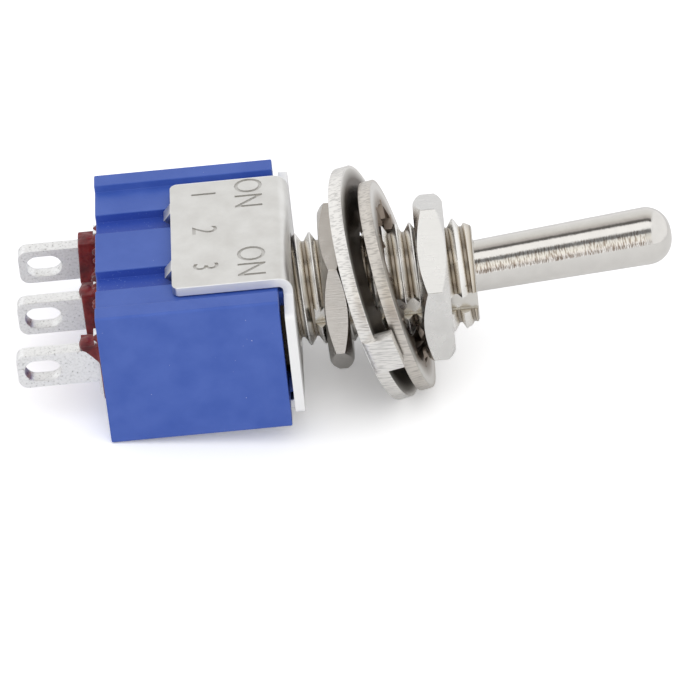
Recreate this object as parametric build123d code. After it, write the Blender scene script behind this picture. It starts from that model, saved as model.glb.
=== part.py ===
from build123d import *
import math
import os

# Mini toggle switch: two-way change-over contacts, threaded panel bushing, solder lugs.
# Millimetres. Z runs along the bushing towards the lever, X is the way the lever throws,
# and -Y is the lettered broad face. The origin is on the bushing's axis, on the top of
# the cover bracket's plate. The lever stands at rest against its stop on the -X side.

# ---- driving dimensions ---------------------------------------------------------------

# Moulded case
CASE_LENGTH = 13.2            # along X
CASE_WIDTH = 7.9              # along Y
CASE_HEIGHT = 9.4             # from its back to its rim
END_WALL = 1.0
SIDE_WALL = 1.65
FLOOR = 1.0
RIM_GAP = 0.25                # air between the rim and the cover plate, spanned by the seat pads
PAD_LENGTH = 9.2
PAD_MARGIN = 0.32             # from the pads' outer side to the recessed face
BAND_WIDTH = 1.06             # raised band at each end of a broad face
FACE_RECESS = 0.43            # broad face between the bands, below them
GROOVE_WIDTH = 1.68
GROOVE_PITCH = 5.18           # between the two grooves of a broad face
GROOVE_DEPTH = 0.5
CAVITY_CORNER = 0.4
CASE_EDGE = 0.15
RESIN_TROUGH_DEPTH = 0.4      # trough in the back that holds the resin
RESIN_END_MARGIN = 1.1        # case's end to the trough
RESIN_SIDE_MARGIN = 2.05      # case's broad face to the trough

# Folded cover bracket
SHEET = 0.5
PLATE_OVERHANG = 0.1          # past each end of the case
PLATE_WIDTH = 6.2
PLATE_CORNER = 0.3
TAB_WIDTH = 9.5
TAB_DROP = 6.15               # from the plate's top to the tab's edge
TAB_CORNER = 0.4
TAB_CLEARANCE = 0.08          # tab to recessed face
BEND_RADIUS = 0.2
CLAW_WIDTH = 0.9
CLAW_LENGTH = 0.62
CLAW_ANGLE = 50.0             # from the tab's plane, into the groove

# Turned bushing
THREAD_RADIUS = 2.95
BUSHING_LENGTH = 9.4
FLANGE_LENGTH = 8.0
FLANGE_WIDTH = 5.2
FLANGE_THICKNESS = 0.8
FLANGE_CORNER = 0.8
FLANGE_CLEARANCE = 0.05
HOLE_CLEARANCE = 0.05         # bushing in the plate's hole
NOSE_RADIUS = 2.72
NOSE_LENGTH = 0.8
NOSE_CHAMFER = 0.25
RELIEF_RADIUS = 2.55
RELIEF_LENGTH = 0.25
MOUTH_RADIUS = 2.08
THROAT_RADIUS = 1.58
SKIRT_RADIUS = 2.25           # bore at the flange's underside
KEYWAY_WIDTH = 1.0
KEYWAY_FLOOR = 2.35           # from the axis
KEYWAY_START = 0.9            # height above the plate

# Lever
PIVOT_HEIGHT = 5.0            # ball centre above the plate
REST_LEAN_ANGLE = 8.0         # degrees towards -X
BALL_RADIUS = 1.8
BALL_CLEARANCE = 0.03
NECK_RADIUS = 1.29
BAT_RADIUS = 1.52
BAT_TIP = 14.9                # ball centre to the end of the bat
BAT_TIP_ROUND = 1.3
TAIL_RADIUS = 1.2
TAIL_LENGTH = 8.0             # ball centre to the tail's end
TAIL_CHAMFER = 0.2
SOCKET_RADIUS = 0.75
SOCKET_TOP = 2.1              # ball centre to the socket's blind end
PIN_RADIUS = 0.4
PIN_LENGTH = 4.5
PIN_CLEARANCE = 0.03

# Plunger and its spring
PLUNGER_CLEARANCE = 0.03
PLUNGER_TOP = 5.2             # ball centre to the plunger's flat end
PLUNGER_REACH = 9.7           # ball centre to the centre of its round tip
SPRING_WIRE = 0.1             # wire radius
SPRING_COIL = 0.6             # wire centre to the spring's axis
SPRING_TURNS = 7
SPRING_STEPS = 12             # straight lengths of wire to a turn
SPRING_SIDES = 8              # flats round the wire

# Rocking contact bridge
ROCKER_LEAN_ANGLE = 6.0       # degrees either way
TROUGH_RISE_ANGLE = 6.0       # slope left under the plunger at the end of the throw
TROUGH_HALF = 2.0
BRIDGE_SHEET = 0.4
BRIDGE_WIDTH = 2.4
BRIDGE_END = 0.65             # moving contact's centre to the bridge's end
KNEE_INSET = 1.0              # moving contact's centre back to where the arm turns level
PLUNGER_GAP = 0.09            # tip to trough, at mid throw
TRUNNION_RADIUS = 0.4
TRUNNION_SINK = 0.15          # trunnion centre below the bridge's underside
TRUNNION_LENGTH = 3.7
TRUNNION_CLEARANCE = 0.03

# Contacts
MOVING_CONTACT_INSET = 0.5    # outer lug's centre back to the moving contact's
CONTACT_RADIUS = 0.85
CONTACT_SHANK = 0.4
MOVING_HEAD = 0.4
FIXED_HEAD = 0.5
CONTACT_DOME = 0.12
CLOSED_GAP = 0.03

# Terminals
TERMINAL_INSET = 1.9          # case's end to an outer lug's centre
LUG_THICKNESS = 0.8
LUG_WIDTH = 2.0
LUG_LENGTH = 4.43             # past the case's back
LUG_CORNER = 0.5
EYELET_WIDTH = 1.25
EYELET_LENGTH = 1.9
EYELET_OFFSET = 1.33          # lug's end to the eyelet's centre
SHOULDER_MARGIN = 0.1         # trough's side to the shoulder
SHOULDER_REACH = 0.3          # past the case's back
FOOT_LENGTH = 2.1
FOOT_WIDTH = 2.4
FOOT_THICKNESS = 0.8
CRADLE_HALF = 1.3             # cradle's base along X
CRADLE_BASE = 0.5
EAR_THICKNESS = 0.5
EAR_GAP = 0.1                 # bridge's edge to the ear
EAR_HALF = 0.75
EAR_RISE = 0.1                # above the trunnion's centre

# Sealing resin
RESIN_CROWN = 0.3
RESIN_CROWN_MARGIN = 0.2
COLLAR_MARGIN = 0.38
COLLAR_TAPER_ANGLE = 18.0
COLLAR_HEIGHT = 1.0           # above the crown, where a collar climbs its lug's lettered side
COLLAR_LEFT = 0.6             # each collar's height at its lug's other side
COLLAR_CENTER = 0.55
COLLAR_RIGHT = 0.1

# Nuts
NUT_FLATS = 8.0
NUT_FACE_RADIUS = 3.9
NUT_CHAMFER_ANGLE = 30.0
NUT_CLEARANCE = 0.03
NUT_BORE_CHAMFER = 0.2
REAR_NUT_THICKNESS = 1.25
REAR_NUT_BASE = 1.45
REAR_NUT_ANGLE = 14.4         # a corner's angle from +X
FRONT_NUT_THICKNESS = 1.55
FRONT_NUT_BASE = 6.45
FRONT_NUT_ANGLE = 35.8

# Locating washer: keyed, leaning on the rear nut
LOCATING_RADIUS = 6.25
LOCATING_BORE = 3.2
LOCATING_THICKNESS = 0.7
LOCATING_HEIGHT = 4.08
LOCATING_LEAN_ANGLE = 14.6
LOCATING_HEADING_ANGLE = -78.0
KEY_WIDTH = 0.72
KEY_REACH = 0.62              # inside the bore
RIM_TAB_WIDTH = 2.05
RIM_TAB_STEP = 0.2            # tab's outer face past the rim
RIM_TAB_RISE = 0.95
RIM_TAB_ANGLE = 2.0
RIM_TAB_ROUND = 0.45

# Lock washer: twisted inner teeth, leaning on the front nut
LOCK_RADIUS = 5.65
LOCK_RING_BORE = 4.3
LOCK_THICKNESS = 0.65
LOCK_HEIGHT = 5.25
LOCK_LEAN_ANGLE = 12.8
LOCK_HEADING_ANGLE = -93.0
LOCK_SAG = 0.3                # off the axis, towards +Y
TOOTH_TIP = 3.5
TOOTH_WIDTH = 0.9
TOOTH_THICKNESS = 0.5
TOOTH_ROOT_LAP = 0.25
TOOTH_TWIST_ANGLE = 20.0
TOOTH_COUNT = 12

# ---- places worked out from them ------------------------------------------------------

RIM_Z = -SHEET - RIM_GAP
BACK_Z = RIM_Z - CASE_HEIGHT
FLOOR_Z = BACK_Z + FLOOR
TROUGH_Z = BACK_Z + RESIN_TROUGH_DEPTH
CAVITY_LENGTH = CASE_LENGTH - 2 * END_WALL
CAVITY_WIDTH = CASE_WIDTH - 2 * SIDE_WALL
FACE_Y = CASE_WIDTH / 2 - FACE_RECESS
TAB_INNER_Y = FACE_Y + TAB_CLEARANCE
TAB_OUTER_Y = TAB_INNER_Y + SHEET
FLANGE_Z = -SHEET - FLANGE_THICKNESS
NOSE_Z = BUSHING_LENGTH - NOSE_LENGTH
PLUNGER_RADIUS = SOCKET_RADIUS - PLUNGER_CLEARANCE
FOOT_Z = FLOOR_Z + FOOT_THICKNESS
FIXED_FACE_Z = FOOT_Z + FIXED_HEAD
TROUGH_ANGLE = ROCKER_LEAN_ANGLE + TROUGH_RISE_ANGLE
TROUGH_DEPTH_Z = (
    PIVOT_HEIGHT
    - PLUNGER_REACH
    - (PLUNGER_RADIUS + PLUNGER_GAP) / math.cos(math.radians(TROUGH_ANGLE))
)
ROCKER_Z = TROUGH_DEPTH_Z - BRIDGE_SHEET - TRUNNION_SINK
LUG_Z = BACK_Z - LUG_LENGTH
RESIN_LENGTH = CASE_LENGTH - 2 * RESIN_END_MARGIN
RESIN_WIDTH = CASE_WIDTH - 2 * RESIN_SIDE_MARGIN
SHOULDER_WIDTH = RESIN_WIDTH - 2 * SHOULDER_MARGIN
TERMINAL_PITCH = CASE_LENGTH / 2 - TERMINAL_INSET
TERMINAL_X = {"left": -TERMINAL_PITCH, "center": 0.0, "right": TERMINAL_PITCH}
MOVING_CONTACT_X = TERMINAL_PITCH - MOVING_CONTACT_INSET
BRIDGE_HALF = MOVING_CONTACT_X + BRIDGE_END
KNEE_X = MOVING_CONTACT_X - KNEE_INSET


def moving_face_z():
    """Height of the moving contacts' faces with the bridge level."""
    lean = math.radians(ROCKER_LEAN_ANGLE)
    closed = FIXED_FACE_Z + CLOSED_GAP
    return ROCKER_Z + (closed - ROCKER_Z + MOVING_CONTACT_X * math.sin(lean)) / math.cos(lean)


MOVING_FACE_Z = moving_face_z()
ARM_UNDER_Z = MOVING_FACE_Z + MOVING_HEAD


def fixed_contact_x():
    """Distance from the axis at which a leaning bridge sets its contact down."""
    lean = math.radians(ROCKER_LEAN_ANGLE)
    return MOVING_CONTACT_X * math.cos(lean) + (MOVING_FACE_Z - ROCKER_Z) * math.sin(lean)


FIXED_CONTACT_X = fixed_contact_x()


# ---- shared forms ---------------------------------------------------------------------

def block(length, width, low, high, x=0.0, y=0.0):
    """Upright block between two heights."""
    return Pos(x, y, (low + high) / 2) * Box(length, width, high - low)


def rod(radius, low, high, x=0.0, y=0.0):
    """Upright cylinder between two heights."""
    return Pos(x, y, (low + high) / 2) * Cylinder(radius, high - low)


def turned(points):
    """Solid of revolution about Z from (radius, height) points."""
    outline = Polyline([(r, 0, z) for r, z in points], close=True)
    return revolve(make_face(outline), Axis.Z)


def along_y(points, width, y=0.0):
    """Prism of an (x, z) outline, centred on y."""
    outline = Polyline([(x, y + width / 2, z) for x, z in points], close=True)
    return extrude(make_face(outline), width, dir=(0, -1, 0))


def along_x(points, width, x=0.0):
    """Prism of a (y, z) outline, centred on x."""
    outline = Polyline([(x - width / 2, y, z) for y, z in points], close=True)
    return extrude(make_face(outline), width, dir=(1, 0, 0))


def to_rest(shape):
    """Lean a piece of the lever about its ball."""
    return shape.rotate(Axis((0, 0, PIVOT_HEIGHT), (0, 1, 0)), -REST_LEAN_ANGLE)


def rocked(shape):
    """Tip a piece of the bridge onto its right-hand contact."""
    return shape.rotate(Axis((0, 0, ROCKER_Z), (0, 1, 0)), ROCKER_LEAN_ANGLE)


def leaning(shape, lean, azimuth, height, y=0.0):
    """Tip a washer so that its axis leans towards an azimuth, then lift it to its place."""
    turn = math.radians(azimuth)
    tipped = shape.rotate(Axis((0, 0, 0), (-math.sin(turn), math.cos(turn), 0)), lean)
    return Pos(0, y, height) * tipped


# ---- case -----------------------------------------------------------------------------

def face_section():
    """Case outline in plan: raised end bands, recessed faces, two grooves a side."""
    outline = Rectangle(CASE_LENGTH, CASE_WIDTH)
    recess_length = CASE_LENGTH - 2 * BAND_WIDTH
    for side in (-1, 1):
        recess_y = side * (CASE_WIDTH - FACE_RECESS) / 2
        outline -= Pos(0, recess_y) * Rectangle(recess_length, FACE_RECESS)
        for groove in (-1, 1):
            place = Pos(groove * GROOVE_PITCH / 2, side * (FACE_Y - GROOVE_DEPTH / 2))
            outline -= place * Rectangle(GROOVE_WIDTH, GROOVE_DEPTH)
    return outline


def terminal_slots():
    """Lug slots through the case's floor."""
    slots = []
    for x in TERMINAL_X.values():
        slots.append(block(LUG_THICKNESS, LUG_WIDTH, BACK_Z, FLOOR_Z, x))
    return slots


def make_case():
    body = Pos(0, 0, BACK_Z) * extrude(face_section(), CASE_HEIGHT)
    outer = body.edges().filter_by(Axis.Z).sort_by(lambda edge: -abs(edge.center().X))[:4]
    body = fillet(outer, CASE_EDGE)
    pad_width = 2 * (FACE_Y - PAD_MARGIN)
    body += block(PAD_LENGTH, pad_width, RIM_Z, -SHEET)
    cavity = extrude(RectangleRounded(CAVITY_LENGTH, CAVITY_WIDTH, CAVITY_CORNER), -FLOOR_Z)
    body -= Pos(0, 0, FLOOR_Z) * cavity
    pocket_length = FLANGE_LENGTH + 2 * FLANGE_CLEARANCE
    pocket_width = FLANGE_WIDTH + 2 * FLANGE_CLEARANCE
    body -= block(pocket_length, pocket_width, FLANGE_Z, 0)
    body -= block(RESIN_LENGTH, RESIN_WIDTH, BACK_Z, TROUGH_Z)
    for slot in terminal_slots():
        body -= slot
    return body


# ---- cover bracket --------------------------------------------------------------------

def channel_section():
    """Plate and both tabs, bent from one strip, seen along X."""
    height = TAB_DROP
    outer = Rectangle(2 * TAB_OUTER_Y, height, align=(Align.CENTER, Align.MAX))
    outer = fillet(outer.vertices().group_by(Axis.Y)[-1], BEND_RADIUS + SHEET)
    inner = Pos(0, -SHEET) * Rectangle(2 * TAB_INNER_Y, height, align=(Align.CENTER, Align.MAX))
    inner = fillet(inner.vertices().group_by(Axis.Y)[-1], BEND_RADIUS)
    return outer - inner


def make_claw(side, x):
    """Tongue of a tab's edge, bent into a groove to hold the case."""
    lean = math.radians(CLAW_ANGLE)
    reach_y = CLAW_LENGTH * math.sin(lean)
    reach_z = CLAW_LENGTH * math.cos(lean)
    thick_y = SHEET * math.cos(lean)
    thick_z = SHEET * math.sin(lean)
    root_z = thick_z - TAB_DROP
    points = [
        (TAB_INNER_Y, root_z + thick_z / 2),
        (TAB_OUTER_Y, root_z + thick_z / 2),
        (TAB_OUTER_Y, -TAB_DROP),
        (TAB_OUTER_Y - reach_y, -TAB_DROP - reach_z),
        (TAB_OUTER_Y - reach_y - thick_y, -TAB_DROP - reach_z + thick_z),
        (TAB_INNER_Y, root_z),
    ]
    return along_x([(side * y, z) for y, z in points], CLAW_WIDTH, x)


def make_bracket():
    strip = extrude(Plane.YZ * channel_section(), TAB_WIDTH / 2, both=True)
    corners = strip.edges().filter_by(Axis.Y).group_by(Axis.Z)[0]
    strip = fillet(corners, TAB_CORNER)
    plate_length = CASE_LENGTH + 2 * PLATE_OVERHANG
    plate = extrude(RectangleRounded(plate_length, PLATE_WIDTH, PLATE_CORNER), -SHEET)
    bracket = strip + plate
    for side in (-1, 1):
        for x in (-GROOVE_PITCH / 2, GROOVE_PITCH / 2):
            bracket += make_claw(side, x)
    bracket -= rod(THREAD_RADIUS + HOLE_CLEARANCE, -2 * SHEET, SHEET)
    return bracket


# ---- bushing --------------------------------------------------------------------------

def bushing_barrel():
    """Threaded barrel at its crest diameter, with the relief and the plain nose."""
    return turned(
        [
            (0, -SHEET),
            (THREAD_RADIUS, -SHEET),
            (THREAD_RADIUS, NOSE_Z - RELIEF_LENGTH),
            (RELIEF_RADIUS, NOSE_Z - RELIEF_LENGTH),
            (RELIEF_RADIUS, NOSE_Z),
            (NOSE_RADIUS, NOSE_Z),
            (NOSE_RADIUS, BUSHING_LENGTH - NOSE_CHAMFER),
            (NOSE_RADIUS - NOSE_CHAMFER, BUSHING_LENGTH),
            (0, BUSHING_LENGTH),
        ]
    )


def bushing_bore():
    """Flared mouth, ball seat and skirt, which let the lever swing."""
    seat = BALL_RADIUS + BALL_CLEARANCE
    throat_z = PIVOT_HEIGHT + math.sqrt(seat**2 - THROAT_RADIUS**2)
    cone = turned(
        [
            (0, PIVOT_HEIGHT),
            (THROAT_RADIUS, PIVOT_HEIGHT),
            (THROAT_RADIUS, throat_z),
            (MOUTH_RADIUS, BUSHING_LENGTH),
            (0, BUSHING_LENGTH),
        ]
    )
    skirt = turned(
        [(0, FLANGE_Z), (SKIRT_RADIUS, FLANGE_Z), (seat, PIVOT_HEIGHT), (0, PIVOT_HEIGHT)]
    )
    return cone + skirt + Pos(0, 0, PIVOT_HEIGHT) * Sphere(seat)


def make_bushing():
    flange_form = RectangleRounded(FLANGE_LENGTH, FLANGE_WIDTH, FLANGE_CORNER)
    body = Pos(0, 0, FLANGE_Z) * extrude(flange_form, FLANGE_THICKNESS)
    body += bushing_barrel()
    body -= bushing_bore()
    key_depth = THREAD_RADIUS - KEYWAY_FLOOR
    key_x = KEYWAY_FLOOR + key_depth
    body -= block(2 * key_depth, KEYWAY_WIDTH, KEYWAY_START, BUSHING_LENGTH, key_x)
    body -= Pos(0, 0, PIVOT_HEIGHT) * Rot(90, 0, 0) * Cylinder(PIN_RADIUS, PIN_LENGTH)
    return body


# ---- lever and what it carries --------------------------------------------------------

def make_lever():
    neck_h = math.sqrt(BALL_RADIUS**2 - NECK_RADIUS**2)
    dome_h = BAT_TIP - BAT_TIP_ROUND
    shaft = Polyline((0, 0), (NECK_RADIUS, 0), (NECK_RADIUS, neck_h), (BAT_RADIUS, dome_h))
    dome = CenterArc((BAT_RADIUS - BAT_TIP_ROUND, dome_h), BAT_TIP_ROUND, 0, 90)
    crown = Polyline((BAT_RADIUS - BAT_TIP_ROUND, BAT_TIP), (0, BAT_TIP), (0, 0))
    outline = make_face(Curve() + [shaft, dome, crown])
    bat = revolve(Plane.XZ * outline, Axis.Z)
    tail = turned(
        [
            (0, 0),
            (TAIL_RADIUS, 0),
            (TAIL_RADIUS, TAIL_CHAMFER - TAIL_LENGTH),
            (TAIL_RADIUS - TAIL_CHAMFER, -TAIL_LENGTH),
            (0, -TAIL_LENGTH),
        ]
    )
    body = Sphere(BALL_RADIUS) + bat + tail
    body -= rod(SOCKET_RADIUS, -TAIL_LENGTH, -SOCKET_TOP)
    body -= Rot(90, 0, 0) * Cylinder(PIN_RADIUS + PIN_CLEARANCE, 2 * BALL_RADIUS)
    return to_rest(Pos(0, 0, PIVOT_HEIGHT) * body)


def make_pivot_pin():
    return Pos(0, 0, PIVOT_HEIGHT) * Rot(90, 0, 0) * Cylinder(PIN_RADIUS, PIN_LENGTH)


def make_plunger():
    shank = rod(PLUNGER_RADIUS, -PLUNGER_REACH, -PLUNGER_TOP)
    body = shank + Pos(0, 0, -PLUNGER_REACH) * Sphere(PLUNGER_RADIUS)
    return to_rest(Pos(0, 0, PIVOT_HEIGHT) * body)


def make_plunger_spring():
    """Coil of wire in short straight lengths, between the socket's end and the plunger."""
    span = PLUNGER_TOP - SOCKET_TOP - 2 * SPRING_WIRE
    lengths = SPRING_TURNS * SPRING_STEPS
    points = []
    for index in range(lengths + 1):
        angle = math.tau * index / SPRING_STEPS
        rise = span * index / lengths
        points.append((SPRING_COIL * math.cos(angle), SPRING_COIL * math.sin(angle), rise))
    line = Polyline(points)
    section = Plane(origin=line @ 0, z_dir=line % 0) * RegularPolygon(SPRING_WIRE, SPRING_SIDES)
    coil = sweep(section, path=line, transition=Transition.RIGHT)
    foot = PIVOT_HEIGHT - PLUNGER_TOP + SPRING_WIRE
    return to_rest(Pos(0, 0, foot) * coil)


# ---- rocking bridge -------------------------------------------------------------------

def bridge_line():
    """Top of the bridge, from its middle to one end."""
    rise = TROUGH_HALF * math.tan(math.radians(TROUGH_ANGLE))
    arm_z = ARM_UNDER_Z + BRIDGE_SHEET
    slope_end = (TROUGH_HALF, TROUGH_DEPTH_Z + rise)
    return [(0, TROUGH_DEPTH_Z), slope_end, (KNEE_X, arm_z), (BRIDGE_HALF, arm_z)]


def thickened(points, thickness):
    """Outline of a strip below a run of points, mitred at its bends."""
    under = []
    for index, point in enumerate(points):
        before = points[max(index - 1, 0)]
        after = points[min(index + 1, len(points) - 1)]
        first = math.atan2(point[1] - before[1], point[0] - before[0]) if index else 0.0
        last = math.atan2(after[1] - point[1], after[0] - point[0]) if after != point else 0.0
        middle = (first + last) / 2
        reach = thickness / math.cos((last - first) / 2)
        under.append((point[0] + reach * math.sin(middle), point[1] - reach * math.cos(middle)))
    return points + under[::-1]


def make_rocker_contact():
    half = bridge_line()
    line = [(-x, z) for x, z in half[:0:-1]] + half
    body = along_y(thickened(line, BRIDGE_SHEET), BRIDGE_WIDTH)
    body += Pos(0, 0, ROCKER_Z) * Rot(90, 0, 0) * Cylinder(TRUNNION_RADIUS, TRUNNION_LENGTH)
    for x in (-MOVING_CONTACT_X, MOVING_CONTACT_X):
        body -= rod(CONTACT_SHANK, ARM_UNDER_Z, ARM_UNDER_Z + BRIDGE_SHEET, x)
    return rocked(body)


def make_moving_contact(side):
    """Rivet in a bridge arm, its domed head facing down."""
    x = side * MOVING_CONTACT_X
    edge_z = MOVING_FACE_Z + CONTACT_DOME
    head = rod(CONTACT_RADIUS, edge_z, ARM_UNDER_Z, x)
    face_radius = CONTACT_RADIUS / 2
    face = turned([(0, MOVING_FACE_Z), (face_radius, MOVING_FACE_Z), (CONTACT_RADIUS, edge_z), (0, edge_z)])
    shank = rod(CONTACT_SHANK, ARM_UNDER_Z, ARM_UNDER_Z + BRIDGE_SHEET, x)
    return rocked(head + Pos(x, 0, 0) * face + shank)


# ---- terminals and fixed contacts -----------------------------------------------------

def make_lug(x):
    """Solder lug with its eyelet, shoulder and neck, up to the case's inner floor."""
    blade_form = Rectangle(LUG_WIDTH, FLOOR_Z - LUG_Z, align=(Align.CENTER, Align.MIN))
    blade_form = fillet(blade_form.vertices().group_by(Axis.Y)[0], LUG_CORNER)
    blade_form -= Pos(0, EYELET_OFFSET) * SlotOverall(EYELET_LENGTH, EYELET_WIDTH, rotation=90)
    blade = Pos(x, 0, LUG_Z) * extrude(Plane.YZ * blade_form, LUG_THICKNESS / 2, both=True)
    return blade + block(LUG_THICKNESS, SHOULDER_WIDTH, BACK_Z - SHOULDER_REACH, TROUGH_Z, x)


def make_end_terminal(side):
    """Outer terminal: its inner end folds over the floor towards the middle."""
    x = side * TERMINAL_PITCH
    foot_x = x + side * (LUG_THICKNESS - FOOT_LENGTH) / 2
    body = make_lug(x) + block(FOOT_LENGTH, FOOT_WIDTH, FLOOR_Z, FOOT_Z, foot_x)
    return body - rod(CONTACT_SHANK, FLOOR_Z, FOOT_Z, side * FIXED_CONTACT_X)


def make_center_terminal():
    """Middle terminal: its inner end is a cradle with two notched ears for the bridge."""
    base_z = FLOOR_Z + CRADLE_BASE
    ear_y = BRIDGE_WIDTH / 2 + EAR_GAP + EAR_THICKNESS / 2
    cradle_width = 2 * ear_y + EAR_THICKNESS
    body = make_lug(0.0) + block(2 * CRADLE_HALF, cradle_width, FLOOR_Z, base_z)
    for side in (-1, 1):
        body += block(2 * EAR_HALF, EAR_THICKNESS, base_z, ROCKER_Z + EAR_RISE, 0, side * ear_y)
    notch_radius = TRUNNION_RADIUS + TRUNNION_CLEARANCE
    notch = Rot(90, 0, 0) * Cylinder(notch_radius, 2 * cradle_width)
    body -= Pos(0, 0, ROCKER_Z) * notch
    return body - block(2 * notch_radius, 2 * cradle_width, ROCKER_Z, 0)


def make_fixed_contact(side):
    """Rivet in an outer terminal's foot, its domed head facing up."""
    x = side * FIXED_CONTACT_X
    edge_z = FIXED_FACE_Z - CONTACT_DOME
    head = rod(CONTACT_RADIUS, FOOT_Z, edge_z, x)
    face_radius = CONTACT_RADIUS / 2
    face = turned([(0, edge_z), (CONTACT_RADIUS, edge_z), (face_radius, FIXED_FACE_Z), (0, FIXED_FACE_Z)])
    return head + Pos(x, 0, 0) * face + rod(CONTACT_SHANK, FLOOR_Z, FOOT_Z, x)


def make_sealing_resin(lugs):
    """Poured block in the back's trough, crowned, with a collar climbing each lug."""
    crown_z = BACK_Z - RESIN_CROWN
    body = block(RESIN_LENGTH, RESIN_WIDTH, BACK_Z, TROUGH_Z)
    crown_base = Pos(0, 0, BACK_Z) * Rectangle(RESIN_LENGTH, RESIN_WIDTH)
    shrink = 2 * RESIN_CROWN_MARGIN
    crown_top = Rectangle(RESIN_LENGTH - shrink, RESIN_WIDTH - shrink)
    body += loft([crown_base, Pos(0, 0, crown_z) * crown_top])
    half = LUG_WIDTH / 2 + COLLAR_MARGIN
    length = LUG_THICKNESS + 2 * COLLAR_MARGIN
    collars = {"left": COLLAR_LEFT, "center": COLLAR_CENTER, "right": COLLAR_RIGHT}
    for name, low in collars.items():
        foot = Rectangle(length, 2 * half)
        collar = extrude(foot, COLLAR_HEIGHT, dir=(0, 0, -1), taper=COLLAR_TAPER_ANGLE)
        collar &= along_x([(-half, 0), (-half, -COLLAR_HEIGHT), (half, -low), (half, 0)], length)
        body += Pos(TERMINAL_X[name], 0, crown_z) * collar
    for lug in lugs:
        body -= lug
    return body


# ---- nuts and washers -----------------------------------------------------------------

def make_nut(thickness, base, turn):
    """Hexagon nut, chamfered on both faces, bored to the thread's crest."""
    hexagon = RegularPolygon(NUT_FLATS / 2, 6, major_radius=False, rotation=turn)
    bore_radius = THREAD_RADIUS + NUT_CLEARANCE
    flare = bore_radius + NUT_BORE_CHAMFER
    bore = turned(
        [
            (0, 0),
            (flare, 0),
            (bore_radius, NUT_BORE_CHAMFER),
            (bore_radius, thickness - NUT_BORE_CHAMFER),
            (flare, thickness),
            (0, thickness),
        ]
    )
    return Pos(0, 0, base) * ((extrude(hexagon, thickness) & chamfer_lens(thickness)) - bore)


def chamfer_lens(thickness):
    """Two chamfer cones base to base, meeting outside the nut's corners."""
    meet = NUT_FACE_RADIUS + thickness / 2 / math.tan(math.radians(NUT_CHAMFER_ANGLE))
    return turned(
        [
            (0, 0),
            (NUT_FACE_RADIUS, 0),
            (meet, thickness / 2),
            (NUT_FACE_RADIUS, thickness),
            (0, thickness),
        ]
    )


def rim_tab():
    """Tab of the locating washer, turned up at its rim."""
    outer = LOCATING_RADIUS + RIM_TAB_STEP
    inner = outer - LOCATING_THICKNESS
    low = -LOCATING_THICKNESS / 2
    high = LOCATING_THICKNESS / 2 + RIM_TAB_RISE
    root = inner - LOCATING_THICKNESS
    points = [(root, low), (outer, low), (outer, high), (inner, high), (inner, -low), (root, -low)]
    tab = along_y(points, RIM_TAB_WIDTH)
    bend = tab.edges().filter_by(Axis.Y).sort_by_distance((outer, 0, low))[0]
    return fillet(bend, RIM_TAB_ROUND).rotate(Axis.Z, RIM_TAB_ANGLE)


def make_locating_washer():
    disc = Cylinder(LOCATING_RADIUS, LOCATING_THICKNESS) - Cylinder(LOCATING_BORE, LOCATING_THICKNESS)
    inner = LOCATING_BORE - KEY_REACH
    outer = (LOCATING_BORE + LOCATING_RADIUS) / 2
    key = Pos((inner + outer) / 2, 0, 0) * Box(outer - inner, KEY_WIDTH, LOCATING_THICKNESS)
    washer = disc + key + rim_tab()
    return leaning(washer, LOCATING_LEAN_ANGLE, LOCATING_HEADING_ANGLE, LOCATING_HEIGHT)


def make_lock_washer():
    washer = Cylinder(LOCK_RADIUS, LOCK_THICKNESS) - Cylinder(LOCK_RING_BORE, LOCK_THICKNESS)
    root = LOCK_RING_BORE + TOOTH_ROOT_LAP
    tooth_length = root - TOOTH_TIP
    tooth = Pos(TOOTH_TIP + tooth_length / 2, 0, 0) * Rot(TOOTH_TWIST_ANGLE, 0, 0)
    tooth = tooth * Box(tooth_length, TOOTH_WIDTH, TOOTH_THICKNESS)
    for index in range(TOOTH_COUNT):
        washer += tooth.rotate(Axis.Z, (index + 0.5) * 360 / TOOTH_COUNT)
    return leaning(washer, LOCK_LEAN_ANGLE, LOCK_HEADING_ANGLE, LOCK_HEIGHT, LOCK_SAG)


# ---- the whole switch -----------------------------------------------------------------

def build_nodes():
    nodes = {
        "case": make_case(),
        "bracket": make_bracket(),
        "bushing": make_bushing(),
        "pivot_pin": make_pivot_pin(),
        "lever": make_lever(),
        "plunger": make_plunger(),
        "plunger_spring": make_plunger_spring(),
        "rocker_contact": make_rocker_contact(),
        "left_moving_contact": make_moving_contact(-1),
        "right_moving_contact": make_moving_contact(1),
        "left_terminal": make_end_terminal(-1),
        "center_terminal": make_center_terminal(),
        "right_terminal": make_end_terminal(1),
        "left_fixed_contact": make_fixed_contact(-1),
        "right_fixed_contact": make_fixed_contact(1),
        "rear_nut": make_nut(REAR_NUT_THICKNESS, REAR_NUT_BASE, REAR_NUT_ANGLE),
        "front_nut": make_nut(FRONT_NUT_THICKNESS, FRONT_NUT_BASE, FRONT_NUT_ANGLE),
        "locating_washer": make_locating_washer(),
        "lock_washer": make_lock_washer(),
    }
    lugs = [nodes[name] for name in ("left_terminal", "center_terminal", "right_terminal")]
    nodes["sealing_resin"] = make_sealing_resin(lugs)
    return nodes


os.makedirs("parts", exist_ok=True)
for node_name, shape in build_nodes().items():
    export_step(shape, f"parts/{node_name}.step")
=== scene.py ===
import math
import random

import bpy
from mathutils import Matrix, Vector


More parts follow.
